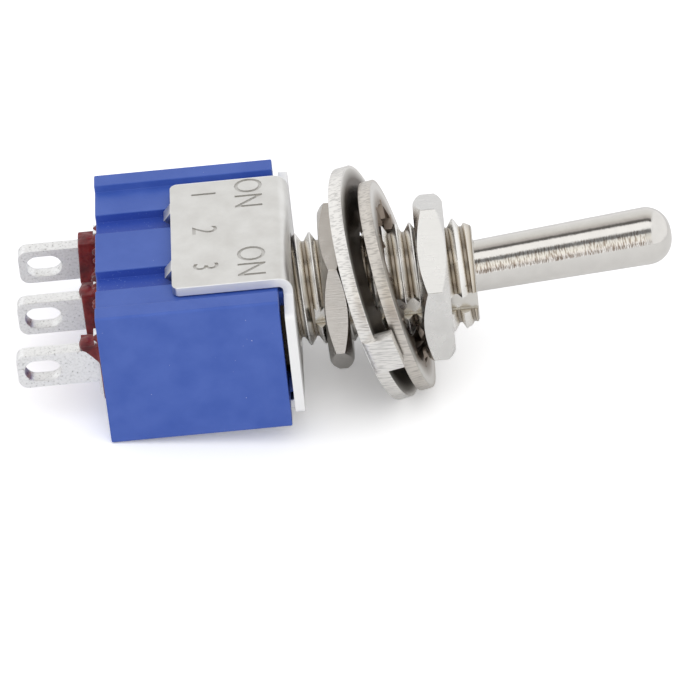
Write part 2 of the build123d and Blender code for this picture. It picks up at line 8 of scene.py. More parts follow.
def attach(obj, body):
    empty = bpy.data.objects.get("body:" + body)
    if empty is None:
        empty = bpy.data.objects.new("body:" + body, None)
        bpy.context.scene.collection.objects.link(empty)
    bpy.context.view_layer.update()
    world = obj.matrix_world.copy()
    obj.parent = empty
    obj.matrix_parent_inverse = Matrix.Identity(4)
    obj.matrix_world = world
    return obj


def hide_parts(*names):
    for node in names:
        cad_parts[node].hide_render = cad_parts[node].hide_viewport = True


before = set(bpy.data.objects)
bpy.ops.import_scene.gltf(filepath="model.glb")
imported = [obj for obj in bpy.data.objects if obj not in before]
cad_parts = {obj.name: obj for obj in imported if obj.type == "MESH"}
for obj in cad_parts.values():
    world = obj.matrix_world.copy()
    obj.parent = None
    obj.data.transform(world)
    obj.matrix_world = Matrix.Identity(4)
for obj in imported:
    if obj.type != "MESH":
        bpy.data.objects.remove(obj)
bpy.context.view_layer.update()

# ---- case -------------------------------------------------------------------------------
# Blue thermoset moulding that holds the contacts. It comes out of its mould in one shot,
# satin, faintly mottled, with its edges just broken, and the cover bracket clamps it.

MM = 0.001  # the scene is in metres
CASE_EDGE = 0.07 * MM
CASE_BLUE = (0.055, 0.118, 0.460)
GROOVE_TOP = 3.50 * MM  # out from the middle along Y; the grooves are sunk below it
GROOVES_END = 3.50 * MM  # out from the middle along X


def work_on(piece):
    """Leave only this piece selected and active."""
    bpy.ops.object.select_all(action="DESELECT")
    piece.select_set(True)
    bpy.context.view_layer.objects.active = piece


def joined_copy(node, name):
    """Copy a CAD node's mesh as a new piece, its loose triangles joined into whole faces."""
    piece = bpy.data.objects.new(name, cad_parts[node].data.copy())
    bpy.context.scene.collection.objects.link(piece)
    piece.data.materials.clear()
    work_on(piece)
    bpy.ops.mesh.customdata_custom_splitnormals_clear()
    bpy.ops.object.mode_set(mode="EDIT")
    bpy.ops.mesh.select_all(action="SELECT")
    bpy.ops.mesh.remove_doubles(threshold=0.0005 * MM)
    bpy.ops.mesh.dissolve_limited(angle_limit=math.radians(0.5))
    bpy.ops.object.mode_set(mode="OBJECT")
    return piece


def shade_evenly(piece):
    """Shade round forms smooth while broad flats stay flat."""
    work_on(piece)
    bpy.ops.mesh.customdata_custom_splitnormals_clear()
    bpy.ops.object.shade_smooth_by_angle(angle=math.radians(35))
    even = piece.modifiers.new("even_flats", "WEIGHTED_NORMAL")
    even.keep_sharp = True
    bpy.ops.object.modifier_apply(modifier=even.name)


def break_edges(piece, width, segments=2, sharper_than=30):
    """Round off every edge sharper than an angle."""
    work_on(piece)
    rounding = piece.modifiers.new("broken_edges", "BEVEL")
    rounding.width = width
    rounding.segments = segments
    rounding.limit_method = "ANGLE"
    rounding.angle_limit = math.radians(sharper_than)
    bpy.ops.object.modifier_apply(modifier=rounding.name)
    shade_evenly(piece)


def fit_piece(piece, body, slot, finish, *nodes):
    """Give a piece its finish, its CAD body and the nodes that it stands for."""
    piece.data.materials.clear()
    piece.data.materials.append(finish)
    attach(piece, body)
    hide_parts(*nodes)


def start_finish(name, colour, roughness, metallic=0.0):
    """Start a material with its plain colour and gloss."""
    finish = bpy.data.materials.new(name)
    finish.use_nodes = True
    shader = finish.node_tree.nodes["Principled BSDF"]
    shader.inputs["Base Color"].default_value = (*colour, 1)
    shader.inputs["Roughness"].default_value = roughness
    shader.inputs["Metallic"].default_value = metallic
    return finish, shader


def add_node(tree, kind, inputs, **settings):
    """Add a node, its inputs set to plain values or linked to other nodes' outputs."""
    node = tree.nodes.new(kind)
    for name, value in settings.items():
        setattr(node, name, value)
    for socket, value in inputs.items():
        if isinstance(value, bpy.types.NodeSocket):
            tree.links.new(value, node.inputs[socket])
        else:
            node.inputs[socket].default_value = value
    return node


def lay_out(finish, turn=(0, 0, 0), centre=(0, 0, 0), stretch=(1, 1, 1)):
    """The piece's own coordinates, turned about a centre and drawn out; returns them."""
    place = finish.node_tree.nodes.new("ShaderNodeTexCoord")
    inputs = {
        "Vector": place.outputs["Object"],
        "Location": centre,
        "Rotation": turn,
        "Scale": stretch,
    }
    lay = add_node(finish.node_tree, "ShaderNodeMapping", inputs, vector_type="TEXTURE")
    return lay.outputs["Vector"]


def add_grain(finish, size, detail=3.0, stretch=(1, 1, 1), turn=(0, 0, 0), centre=(0, 0, 0)):
    """Noise on the piece's own coordinates, with features of a given size; returns its value."""
    place = lay_out(finish, turn, centre, stretch)
    inputs = {"Vector": place, "Scale": 1 / size, "Detail": detail}
    return add_node(finish.node_tree, "ShaderNodeTexNoise", inputs).outputs["Fac"]


def add_ramp(finish, value, stops):
    """Colour ramp through (place, colour) stops; returns its colour."""
    ramp = add_node(finish.node_tree, "ShaderNodeValToRGB", {"Fac": value})
    band = ramp.color_ramp
    for element, (place, colour) in zip(band.elements, (stops[0], stops[-1])):
        element.position, element.color = place, (*colour, 1)
    for place, colour in stops[1:-1]:
        band.elements.new(place).color = (*colour, 1)
    return ramp.outputs["Color"]


def add_range(finish, value, low, high, start=0.3, end=0.7):
    """Low to high as a value passes from start to end; returns it."""
    inputs = {"Value": value, "From Min": start, "From Max": end, "To Min": low, "To Max": high}
    return add_node(finish.node_tree, "ShaderNodeMapRange", inputs).outputs["Result"]


def add_relief(finish, shader, heights):
    """Bumps laid one on another, from (value, depth) pairs."""
    normal = None
    for value, depth in heights:
        inputs = {"Distance": depth, "Height": value}
        if normal is not None:
            inputs["Normal"] = normal
        normal = add_node(finish.node_tree, "ShaderNodeBump", inputs).outputs["Normal"]
    finish.node_tree.links.new(normal, shader.inputs["Normal"])


def add_part(finish, axis, start, end, size=False, turn=(0, 0, 0), centre=(0, 0, 0)):
    """0 to 1 as one of the piece's own coordinates, or its size, passes from start to end."""
    tree = finish.node_tree
    place = {"Vector": lay_out(finish, turn, centre)}
    value = add_node(tree, "ShaderNodeSeparateXYZ", place).outputs[axis]
    if size:
        value = add_node(tree, "ShaderNodeMath", {0: value}, operation="ABSOLUTE").outputs[0]
    return add_range(finish, value, 0.0, 1.0, start, end)


def add_choice(finish, share, first, second):
    """Mix two colours, either of them plain or linked, by a share; returns its colour."""
    inputs = {"Factor": share}
    for socket, colour in (("A", first), ("B", second)):
        inputs[socket] = (*colour, 1) if isinstance(colour, tuple) else colour
    return add_node(finish.node_tree, "ShaderNodeMix", inputs, data_type="RGBA").outputs["Result"]


def moulding_finish():
    """Satin thermoset: soft clouds of tone, pimples from the mould, painted shade and dust in the
    grooves.
    """
    finish, shader = start_finish("blue_moulding", CASE_BLUE, 0.42)
    shader.inputs["Specular IOR Level"].default_value = 0.45
    clouds = add_grain(finish, 1.6 * MM, 4)
    pimples = add_grain(finish, 0.09 * MM, 2)
    tone = add_ramp(finish, clouds, [(0.35, (0.046, 0.107, 0.440)), (0.65, (0.064, 0.130, 0.480))])
    grit = add_grain(finish, 0.16 * MM, 1)
    specks = add_ramp(finish, grit, [(0.80, (0, 0, 0)), (0.83, (1, 1, 1))])
    skin = add_choice(finish, specks, tone, (0.45, 0.50, 0.68))
    # In the grooves the base colour is darkened as painted shade; the paler flecks on it are dust.
    powder = add_grain(finish, 0.11 * MM, 2)
    grooves_shade_and_dust = add_ramp(finish, powder, [(0.66, (0.034, 0.080, 0.410)), (0.78, (0.15, 0.23, 0.56))])
    outside = add_part(finish, "Y", GROOVE_TOP - 0.06 * MM, GROOVE_TOP, size=True)
    beyond = add_part(finish, "X", GROOVES_END, GROOVES_END + 0.05 * MM, size=True)
    grooves_shaded = add_choice(finish, outside, grooves_shade_and_dust, skin)
    tinted = add_choice(finish, beyond, grooves_shaded, skin)
    links = finish.node_tree.links
    links.new(tinted, shader.inputs["Base Color"])
    links.new(add_range(finish, clouds, 0.36, 0.48), shader.inputs["Roughness"])
    add_relief(finish, shader, [(clouds, 0.012 * MM), (pimples, 0.003 * MM)])
    return finish


bpy.ops.object.select_all(action="DESELECT")
case = joined_copy("case", "moulded_case")
break_edges(case, CASE_EDGE)
fit_piece(case, "switch_body", "blue_moulding", moulding_finish(), "case")

# ---- solder terminals -------------------------------------------------------------------
# Three lugs blanked from brass strip and silver-plated, moulded through the case's floor.
# The plate is dull, speckled with tarnish, and their edges are rounded by the blanking die.

LUG_EDGE = 0.06 * MM
LUG_PITCH = 4.7 * MM


def silver_finish():
    """Dull silver plate with faint tarnish specks and handling marks."""
    finish, shader = start_finish("silvered_terminal", (0.84, 0.84, 0.84), 0.36, 1.0)
    tarnish = add_grain(finish, 0.13 * MM, 4)
    clouds = add_grain(finish, 0.9 * MM, 3)
    colours = [(0.27, (0.46, 0.45, 0.44)), (0.38, (0.86, 0.86, 0.86)), (0.60, (0.97, 0.97, 0.97))]
    links = finish.node_tree.links
    links.new(add_ramp(finish, tarnish, colours), shader.inputs["Base Color"])
    links.new(add_range(finish, clouds, 0.30, 0.46), shader.inputs["Roughness"])
    add_relief(finish, shader, [(tarnish, 0.003 * MM), (clouds, 0.014 * MM)])
    return finish


silver = silver_finish()
for side in ("left", "center", "right"):
    lug = joined_copy(f"{side}_terminal", f"{side}_solder_terminal")
    break_edges(lug, LUG_EDGE)
    fit_piece(lug, "switch_body", "silvered_terminal", silver, f"{side}_terminal")

# ---- sealing resin ----------------------------------------------------------------------
# Red epoxy poured into the case's back, where it seals the lugs. It creeps up each lug
# before it sets, most of all on the lettered side, and its skin keeps a soft gloss.

POUR_LENGTH = 11.0 * MM
POUR_WIDTH = 3.8 * MM
POUR_TOP = -10.28 * MM
POUR_FLOOR = -9.80 * MM
COLLAR_HALF = 0.62 * MM
COLLAR_NEAR = -1.32 * MM
# Where each collar stands, how far it climbs on the lettered side and on the far side, and
# where that far side is.
COLLARS = (
    (-LUG_PITCH, 1.04 * MM, 1.17 * MM, 1.25 * MM),
    (0, 0.86 * MM, 0.84 * MM, 1.25 * MM),
    (LUG_PITCH, 0.88 * MM, -0.38 * MM, 0.20 * MM),
)
SWELL = (0.64 * MM, 0.24 * MM, 0.38 * MM)  # half sizes of the round swell on each collar
SWELL_INWARD = 0.16 * MM
SWELL_RISE = 0.62 * MM
BEADS = 30
BEADS_FROM_END = 0.2 * MM
BEADS_FROM_SIDE = 0.16 * MM


def pick(piece, kind, wanted):
    """Select a piece's faces, edges or vertices whose middles pass a test, in edit mode."""
    bpy.ops.object.mode_set(mode="OBJECT")
    mesh = piece.data
    modes = {"VERT": mesh.vertices, "EDGE": mesh.edges, "FACE": mesh.polygons}
    bpy.context.tool_settings.mesh_select_mode = [kind == mode for mode in modes]
    for group in modes.values():
        for part in group:
            part.select = False
    for part in modes[kind]:
        if kind == "VERT":
            middle = part.co
        elif kind == "EDGE":
            middle = (mesh.vertices[part.vertices[0]].co + mesh.vertices[part.vertices[1]].co) / 2
        else:
            middle = part.center
        part.select = wanted(middle)
    bpy.ops.object.mode_set(mode="EDIT")


def near(value, target):
    return abs(value - target) < 0.01 * MM


def add_block(centre, size):
    """Block of a given size about its centre."""
    bpy.ops.mesh.primitive_cube_add(size=1)
    block = bpy.context.object
    block.data.transform(Matrix.Translation(centre) @ Matrix.Diagonal((*size, 1)))
    return block


def climb_lug(x, near_rise, far_rise, far):
    """Block of resin round a lug, sloping from the lettered side to where it ends at far."""
    height = POUR_FLOOR - POUR_TOP + near_rise
    collar = add_block(
        (x, (COLLAR_NEAR + far) / 2, POUR_FLOOR - height / 2),
        (2 * COLLAR_HALF, far - COLLAR_NEAR, height),
    )
    pick(collar, "VERT", lambda c: near(c.y, far) and c.z < POUR_TOP)
    bpy.ops.transform.translate(value=(0, 0, near_rise - far_rise))
    bpy.ops.object.mode_set(mode="OBJECT")
    return collar


def join_into(piece, others):
    """Make other objects part of a piece's mesh."""
    work_on(piece)
    for other in others:
        other.select_set(True)
    bpy.ops.object.join()


def pour_resin():
    """A flat pour, a collar up each lug and beads at its rim, run together and set."""
    pour = add_block(
        (0, 0, (POUR_TOP + POUR_FLOOR) / 2), (POUR_LENGTH, POUR_WIDTH, POUR_FLOOR - POUR_TOP)
    )
    pour.name = "poured_sealing_resin"
    lumps = []
    for x, near_rise, far_rise, far in COLLARS:
        lumps.append(climb_lug(x, near_rise, far_rise, far))
        bpy.ops.mesh.primitive_ico_sphere_add(subdivisions=3, radius=1)
        swell = bpy.context.object
        swell.data.transform(
            Matrix.Translation((x, COLLAR_NEAR + SWELL_INWARD, POUR_TOP - SWELL_RISE))
            @ Matrix.Diagonal((*SWELL, 1))
        )
        lumps.append(swell)
    chance = random.Random(7)
    for index in range(BEADS):
        along = chance.uniform(-1, 1) * (POUR_LENGTH / 2 - BEADS_FROM_END)
        edge = chance.choice((-1, 1)) * (POUR_WIDTH / 2 - BEADS_FROM_SIDE)
        size = chance.uniform(0.13, 0.24) * MM
        bpy.ops.mesh.primitive_ico_sphere_add(subdivisions=2, radius=size)
        bead = bpy.context.object
        bead.data.transform(Matrix.Translation((along, edge, POUR_TOP - 0.2 * size)))
        lumps.append(bead)
    join_into(pour, lumps)
    skin = pour.modifiers.new("skin", "REMESH")
    skin.mode = "VOXEL"
    skin.voxel_size = 0.06 * MM
    bpy.ops.object.modifier_apply(modifier=skin.name)
    flow = pour.modifiers.new("flow", "SMOOTH")
    flow.factor = 0.5
    flow.iterations = 6
    bpy.ops.object.modifier_apply(modifier=flow.name)
    bpy.ops.object.shade_smooth()
    return pour


def resin_finish():
    """Softly glossy epoxy with a skin that has run and pulled."""
    finish, shader = start_finish("red_resin", (0.17, 0.012, 0.015), 0.30)
    shader.inputs["Specular IOR Level"].default_value = 0.35
    shader.inputs["Coat Weight"].default_value = 0.10
    shader.inputs["Coat Roughness"].default_value = 0.08
    runs = add_grain(finish, 0.7 * MM, 2)
    pulls = add_grain(finish, 0.25 * MM, 2)
    colours = [(0.30, (0.085, 0.007, 0.011)), (0.70, (0.23, 0.017, 0.018))]
    finish.node_tree.links.new(add_ramp(finish, runs, colours), shader.inputs["Base Color"])
    add_relief(finish, shader, [(runs, 0.12 * MM), (pulls, 0.03 * MM)])
    return finish


fit_piece(pour_resin(), "switch_body", "red_resin", resin_finish(), "sealing_resin")

# ---- contacts, rocking bridge, plunger, spring and pin ------------------------------------
# The works inside the case: silver rivets, a stamped bridge that rocks on the middle
# terminal, a nylon plunger pressed down by a coil spring, and the pin through the ball.


def rivet_finish():
    """Silver rivet, faintly dimpled by the heading tool."""
    finish, shader = start_finish("contact_silver", (0.88, 0.87, 0.84), 0.22, 1.0)
    dimples = add_grain(finish, 0.2 * MM, 3)
    finish.node_tree.links.new(add_range(finish, dimples, 0.16, 0.34), shader.inputs["Roughness"])
    add_relief(finish, shader, [(dimples, 0.006 * MM)])
    return finish


def strip_finish():
    """Silver-plated strip with the rolling mill's lines along it."""
    finish, shader = start_finish("contact_strip", (0.80, 0.78, 0.73), 0.28, 1.0)
    lines = add_grain(finish, 0.12 * MM, 3, stretch=(12, 1, 1))
    colours = [(0.3, (0.66, 0.63, 0.57)), (0.7, (0.86, 0.84, 0.80))]
    finish.node_tree.links.new(add_ramp(finish, lines, colours), shader.inputs["Base Color"])
    add_relief(finish, shader, [(lines, 0.004 * MM)])
    return finish


def nylon_finish():
    """Natural nylon, milky and waxy."""
    finish, shader = start_finish("natural_nylon", (0.86, 0.84, 0.76), 0.38)
    shader.inputs["Subsurface Weight"].default_value = 0.25
    shader.inputs["Subsurface Scale"].default_value = 0.4 * MM
    milk = add_grain(finish, 0.5 * MM, 2)
    colours = [(0.3, (0.80, 0.77, 0.68)), (0.7, (0.90, 0.88, 0.82))]
    finish.node_tree.links.new(add_ramp(finish, milk, colours), shader.inputs["Base Color"])
    add_relief(finish, shader, [(milk, 0.004 * MM)])
    return finish


def drawn_finish(name, colour):
    """Drawn steel with fine die lines along it."""
    finish, shader = start_finish(name, colour, 0.3, 1.0)
    lines = add_grain(finish, 0.05 * MM, 2, stretch=(1, 14, 1))
    finish.node_tree.links.new(add_range(finish, lines, 0.22, 0.42), shader.inputs["Roughness"])
    add_relief(finish, shader, [(lines, 0.002 * MM)])
    return finish


rivet_silver = rivet_finish()
inner_finishes = {
    "left_fixed_contact": rivet_silver,
    "right_fixed_contact": rivet_silver,
    "left_moving_contact": rivet_silver,
    "right_moving_contact": rivet_silver,
    "rocker_contact": strip_finish(),
    "plunger": nylon_finish(),
    "plunger_spring": drawn_finish("spring_wire", (0.55, 0.55, 0.56)),
    "pivot_pin": drawn_finish("steel_pin", (0.58, 0.58, 0.60)),
}
for name, finish in inner_finishes.items():
    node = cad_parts[name]
    node.data.materials.clear()
    node.data.materials.append(finish)

# ---- cover bracket ----------------------------------------------------------------------
# Half-millimetre steel strip, plated, folded into a channel over the case. One tab carries
# stamped marks, and two claws under each tab are bent into the case's grooves.

SHEET = 0.5 * MM
TAB_FACE = 4.10 * MM
TAB_WIDTH = 9.5 * MM
TAB_DROP = 6.15 * MM
TAB_CORNER = 0.4 * MM
BEND = 0.7 * MM
PLATE_LENGTH = 13.4 * MM
PLATE_WIDTH = 6.2 * MM
PLATE_CORNER = 0.3 * MM
CLAW_X = 2.59 * MM
CLAW_WIDTH = 0.9 * MM
CLAW_LENGTH = 0.62 * MM
CLAW_ANGLE = math.radians(50)
HOLE_RADIUS = 3.0 * MM
BRACKET_EDGE = 0.09 * MM
MARK_DEPTH = 0.07 * MM
MARKS_TOP = -1.0 * MM
CAPITAL_SHARE = 0.72  # a capital's height in the lettering's size
MARK_NARROWING = 0.82
# Each mark's words, its middle along X and Z, and its height.
MARKS = (
    ("ON", -3.35 * MM, -2.12 * MM, 1.52 * MM),
    ("ON", 2.88 * MM, -2.10 * MM, 1.52 * MM),
    ("1", -3.6 * MM, -4.45 * MM, 1.35 * MM),
    ("2", -0.3 * MM, -4.45 * MM, 1.35 * MM),
    ("3", 3.0 * MM, -4.45 * MM, 1.35 * MM),
)


def bisect_at(point, normal):
    """Cut the edited piece's faces along a plane and keep both sides."""
    bpy.ops.mesh.select_all(action="SELECT")
    bpy.ops.mesh.bisect(plane_co=point, plane_no=normal, threshold=0.0001 * MM)


def boolean(piece, tool, operation):
    """Join, cut or keep the overlap with a tool, which is used up."""
    work_on(piece)
    step = piece.modifiers.new("step", "BOOLEAN")
    step.operation = operation
    step.solver = "EXACT"
    step.object = tool
    bpy.ops.object.modifier_apply(modifier=step.name)
    bpy.data.objects.remove(tool)


def fold_bracket():
    """Lay out the strip as a sheet, fold it, then give it its thickness."""
    bpy.ops.mesh.primitive_plane_add(size=1)
    sheet = bpy.context.object
    sheet.name = "folded_bracket"
    bpy.ops.object.mode_set(mode="EDIT")
    bpy.ops.transform.resize(value=(TAB_WIDTH, 2 * TAB_FACE, 1))
    pick(sheet, "EDGE", lambda c: near(abs(c.y), TAB_FACE))
    bpy.ops.mesh.extrude_edges_move(TRANSFORM_OT_translate={"value": (0, 0, -TAB_DROP)})
    for side in (-1, 1):
        bisect_at((0, side * PLATE_WIDTH / 2, 0), (0, 1, 0))
    pick(sheet, "EDGE", lambda c: near(abs(c.x), TAB_WIDTH / 2) and near(c.y, 0))
    bpy.ops.mesh.extrude_edges_move()
    overhang = PLATE_LENGTH / TAB_WIDTH
    bpy.ops.transform.resize(value=(overhang, 1, 1), center_override=(0, 0, 0))
    for side in (-1, 1):
        for edge in (-CLAW_WIDTH / 2, CLAW_WIDTH / 2):
            bisect_at((side * CLAW_X + edge, 0, 0), (1, 0, 0))
    for side in (-1, 1):
        pick(
            sheet,
            "EDGE",
            lambda c: near(abs(c.x), CLAW_X)
            and near(c.y, side * TAB_FACE)
            and near(c.z, -TAB_DROP),
        )
        inward = -side * CLAW_LENGTH * math.sin(CLAW_ANGLE)
        down = -CLAW_LENGTH * math.cos(CLAW_ANGLE)
        bpy.ops.mesh.extrude_edges_move(TRANSFORM_OT_translate={"value": (0, inward, down)})
    pick(sheet, "VERT", lambda c: near(abs(c.x), TAB_WIDTH / 2) and near(c.z, -TAB_DROP))
    bpy.ops.mesh.bevel(offset=TAB_CORNER, segments=6, affect="VERTICES")
    pick(sheet, "VERT", lambda c: near(abs(c.x), PLATE_LENGTH / 2))
    bpy.ops.mesh.bevel(offset=PLATE_CORNER, segments=4, affect="VERTICES")
    pick(sheet, "EDGE", lambda c: near(abs(c.y), TAB_FACE) and near(c.z, 0))
    bpy.ops.mesh.bevel(offset=BEND, segments=8, affect="EDGES")
    bisect_at((0, 0, MARKS_TOP), (0, 0, 1))
    bpy.ops.mesh.select_all(action="SELECT")
    bpy.ops.mesh.normals_make_consistent(inside=False)
    bpy.ops.object.mode_set(mode="OBJECT")
    top = max(sheet.data.polygons, key=lambda face: face.area)
    if top.normal.dot(top.center - Vector((0, 0, -TAB_DROP))) < 0:
        sheet.data.flip_normals()
    work_on(sheet)
    wall = sheet.modifiers.new("sheet", "SOLIDIFY")
    wall.thickness = SHEET
    wall.offset = -1
    wall.use_even_offset = True
    bpy.ops.object.modifier_apply(modifier=wall.name)
    return sheet


def face_outwards():
    """Merge a closed shell's doubles and turn its faces outwards, in edit mode."""
    bpy.ops.mesh.select_all(action="SELECT")
    bpy.ops.mesh.remove_doubles(threshold=0.0005 * MM)
    bpy.ops.mesh.normals_make_consistent(inside=False)
    bpy.ops.object.mode_set(mode="OBJECT")


def letter_mark(words, x, z, height):
    """Letters that stand upright on the lettered tab's face, half sunk in it."""
    bpy.ops.object.text_add()
    mark = bpy.context.object
    mark.data.body = words
    mark.data.size = height / CAPITAL_SHARE
    mark.data.align_x = "CENTER"
    mark.data.align_y = "CENTER"
    mark.data.resolution_u = 4
    mark.data.extrude = MARK_DEPTH
    bpy.ops.object.convert(target="MESH")
    mark = bpy.context.object
    bpy.ops.object.mode_set(mode="EDIT")
    face_outwards()
    upright = Matrix.Rotation(math.radians(90), 4, "X")
    narrow = Matrix.Diagonal((MARK_NARROWING, 1, 1, 1))
    mark.data.transform(Matrix.Translation((x, -TAB_FACE, z)) @ upright @ narrow)
    return mark


bracket = fold_bracket()
bpy.ops.mesh.primitive_cylinder_add(vertices=96, radius=HOLE_RADIUS, depth=4 * SHEET)
boolean(bracket, bpy.context.object, "DIFFERENCE")
break_edges(bracket, BRACKET_EDGE, segments=3)
marks = [letter_mark(*mark) for mark in MARKS]
join_into(marks[0], marks[1:])
boolean(bracket, marks[0], "DIFFERENCE")
shade_evenly(bracket)


def tin_finish():
    """Satin plate over rolled strip; its marks and the tab's inner side painted grey as shade, and
    its sheared ends rougher, with a near-white, less metallic colour painted as a highlight.
    """
    finish, shader = start_finish("plated_sheet", (0.80, 0.79, 0.77), 0.36, 1.0)
    rolling = add_grain(finish, 0.05 * MM, 3, stretch=(10, 1, 1))
    patches = add_grain(finish, 1.1 * MM, 4)
    rolled = add_ramp(finish, patches, [(0.3, (0.74, 0.73, 0.71)), (0.7, (0.84, 0.835, 0.82))])
    end = TAB_WIDTH / 2
    sheared = add_part(finish, "X", end - BRACKET_EDGE, end - 0.03 * MM, size=True)
    # Below the marks' top, all that lies inside the tab's outer face, the marks' floors and the
    # tab's inner side among it, is painted grey as shade.
    floor = TAB_FACE - 0.8 * MARK_DEPTH
    outside = add_part(finish, "Y", floor, TAB_FACE - 0.2 * MARK_DEPTH, size=True)
    above = add_part(finish, "Z", MARKS_TOP, MARKS_TOP + 0.1 * MM)
    marks_in_painted_shade = add_choice(finish, outside, (0.62, 0.61, 0.59), rolled)
    face = add_choice(finish, above, marks_in_painted_shade, rolled)
    links = finish.node_tree.links
    # The sheared ends get a rougher face, and a near-white, less metallic colour painted as a
    # highlight.
    links.new(add_choice(finish, sheared, face, (0.94, 0.94, 0.94)), shader.inputs["Base Color"])
    links.new(add_range(finish, sheared, 0.36, 0.60, 0, 1), shader.inputs["Roughness"])
    links.new(add_range(finish, sheared, 1.0, 0.25, 0, 1), shader.inputs["Metallic"])
    add_relief(finish, shader, [(rolling, 0.002 * MM), (patches, 0.010 * MM)])
    return finish


fit_piece(bracket, "switch_body", "tin_plated_sheet", tin_finish(), "bracket")

# ---- threaded bushing -------------------------------------------------------------------
# Turned from brass bar: a flange that the bracket holds down, a fine thread for the panel
# nuts with a keyway down one side, and a chamfered free end. It is plated bright nickel.

CREST = 2.95 * MM
ROOT = 2.50 * MM
PITCH = 0.75 * MM
FLANK_ANGLE = math.radians(30)
ROOT_FLOOR = 0.13 * MM
CREST_ROUND = 0.02 * MM
BUSHING_LENGTH = 9.4 * MM
END_CHAMFER = 0.5 * MM
END_LEAD = 0.9 * MM
PIVOT = Vector((0, 0, 5.0 * MM))
BALL = 1.8 * MM
BALL_SEAT = 1.83 * MM
THROAT = 1.58 * MM
TAIL_ROOM = 2.25 * MM
FLANGE_TOP = -0.5 * MM
FLANGE_UNDER = -1.3 * MM
FLANGE_LENGTH = 8.0 * MM
FLANGE_WIDTH = 5.2 * MM
FLANGE_CORNER = 0.8 * MM
KEYWAY_WIDTH = 1.0 * MM
KEYWAY_FLOOR = 2.35 * MM
KEYWAY_START = 0.9 * MM
KEYWAY_END = 10.9 * MM


def draw_line(name, points):
    """Draw a line of (radius, height) points, one extrusion after another."""
    bpy.ops.mesh.primitive_plane_add(size=MM)
    line = bpy.context.object
    line.name = name
    bpy.ops.object.mode_set(mode="EDIT")
    bpy.ops.mesh.select_mode(type="VERT")
    bpy.ops.mesh.merge(type="CENTER")
    radius, height = points[0]
    bpy.ops.transform.translate(value=(radius, 0, height))
    for (r0, z0), (r1, z1) in zip(points, points[1:]):
        bpy.ops.mesh.extrude_region_move(TRANSFORM_OT_translate={"value": (r1 - r0, 0, z1 - z0)})
    return line


def turn_on_lathe(name, points, steps=96):
    """Spin a line of (radius, height) points round the Z axis."""
    shape = draw_line(name, points)
    bpy.ops.mesh.select_all(action="SELECT")
    bpy.ops.mesh.spin(steps=steps, angle=math.tau, center=(0, 0, 0), axis=(0, 0, 1))
    face_outwards()
    return shape


def arc(radius, start, end, steps, height=0.0):
    """(radius, height) points of a ball's outline between two latitudes in degrees."""
    points = []
    for index in range(steps + 1):
        angle = math.radians(start + (end - start) * index / steps)
        points.append((radius * math.cos(angle), height + radius * math.sin(angle)))
    return points


def thread_rod(name, clearance, low, high, steps=72):
    """Rod with a right-hand thread, cut square at both ends."""
    flank = (CREST - ROOT) * math.tan(FLANK_ANGLE)
    crest = PITCH - 2 * flank - ROOT_FLOOR
    rise = ROOT_FLOOR + flank
    root, top = ROOT + clearance, CREST + clearance
    points = [
        (root, 0),
        (root, ROOT_FLOOR),
        (top - CREST_ROUND, rise),
        (top, rise + 0.3 * crest),
        (top, rise + 0.7 * crest),
        (top - CREST_ROUND, rise + crest),
        (root, PITCH),
    ]
    turns = math.ceil((high - low) / PITCH) + 2
    rod = draw_line(name, points)
    bpy.ops.mesh.select_all(action="SELECT")
    start = math.floor(low / PITCH) * PITCH - PITCH
    bpy.ops.transform.translate(value=(0, 0, start))
    bpy.ops.object.mode_set(mode="OBJECT")
    helix = rod.modifiers.new("helix", "SCREW")
    helix.screw_offset = PITCH
    helix.iterations = turns
    helix.steps = helix.render_steps = steps
    helix.use_merge_vertices = False
    work_on(rod)
    bpy.ops.object.modifier_apply(modifier=helix.name)
    bpy.ops.object.mode_set(mode="EDIT")
    bpy.ops.mesh.select_all(action="SELECT")
    bpy.ops.mesh.remove_doubles(threshold=0.0005 * MM)
    for height, drop_above in ((low, False), (high, True)):
        bpy.ops.mesh.select_all(action="SELECT")
        bpy.ops.mesh.bisect(
            plane_co=(0, 0, height),
            plane_no=(0, 0, 1),
            use_fill=True,
            clear_outer=drop_above,
            clear_inner=not drop_above,
            threshold=0.0001 * MM,
        )
    face_outwards()
    return rod


